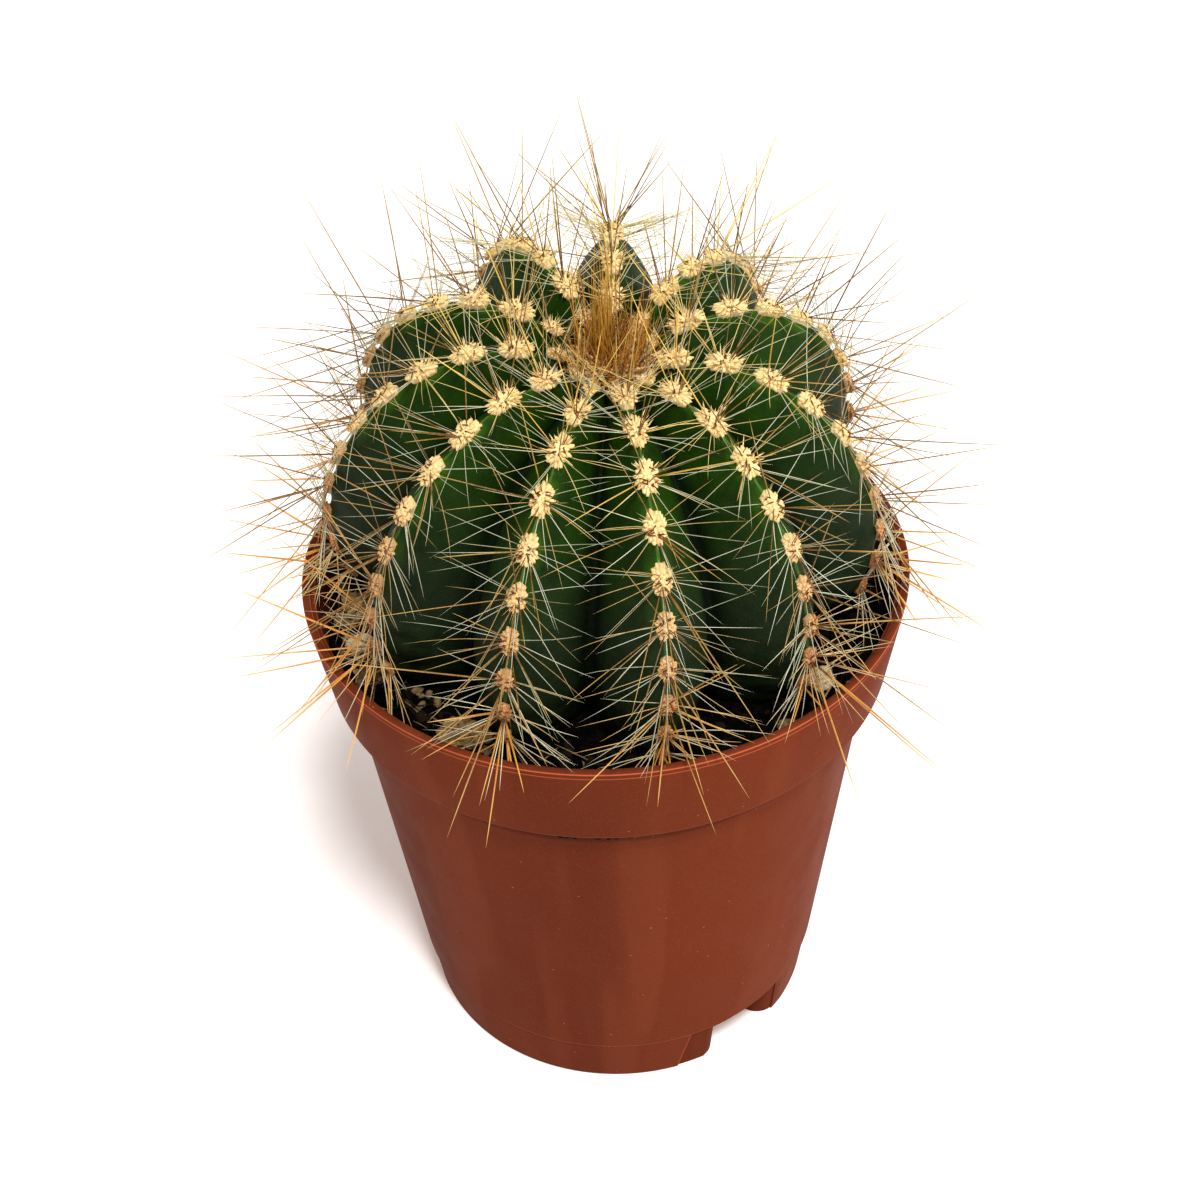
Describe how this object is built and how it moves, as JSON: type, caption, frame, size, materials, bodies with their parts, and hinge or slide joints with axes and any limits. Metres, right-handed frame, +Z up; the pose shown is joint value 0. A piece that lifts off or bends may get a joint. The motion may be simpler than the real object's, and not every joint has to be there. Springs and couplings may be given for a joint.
{
  "type": "potted round cactus",
  "caption": "Round ribbed cactus with woolly areoles, pale side spines and amber centre spines, growing in a thin plastic nursery pot of dark soil.",
  "frame": {"origin": "middle of the pot's foot, on the surface that the pot stands on", "axes": "+Z up along the pot's axis; -Y is the picture's front; the plant leans towards -Y"},
  "size_m": [0.108, 0.108, 0.1415],
  "materials": {
    "pot_plastic": "satin moulded, red-brown",
    "soil": "damp peat mix, near black",
    "cactus": "waxy green skin, cream wool, pale and amber spines",
    "tuft": "amber and brown bristles on cream wool",
    "pumice": "rough, porous, greyish tan",
    "pebble": "rough, cream",
    "bark": "fibrous, tan"
  },
  "bodies": {
    "root": {"pot": "pot_plastic", "soil": "soil", "cactus": "cactus", "crown_tuft": "tuft", "pumice_chip_1": "pumice", "pebble_chip_2": "pebble", "pumice_chip_3": "pumice", "bark_chip_4": "bark", "bark_chip_5": "bark", "pebble_chip_6": "pebble", "pumice_chip_7": "pumice", "bark_chip_8": "bark", "pumice_chip_9": "pumice"}
  },
  "joints": []
}
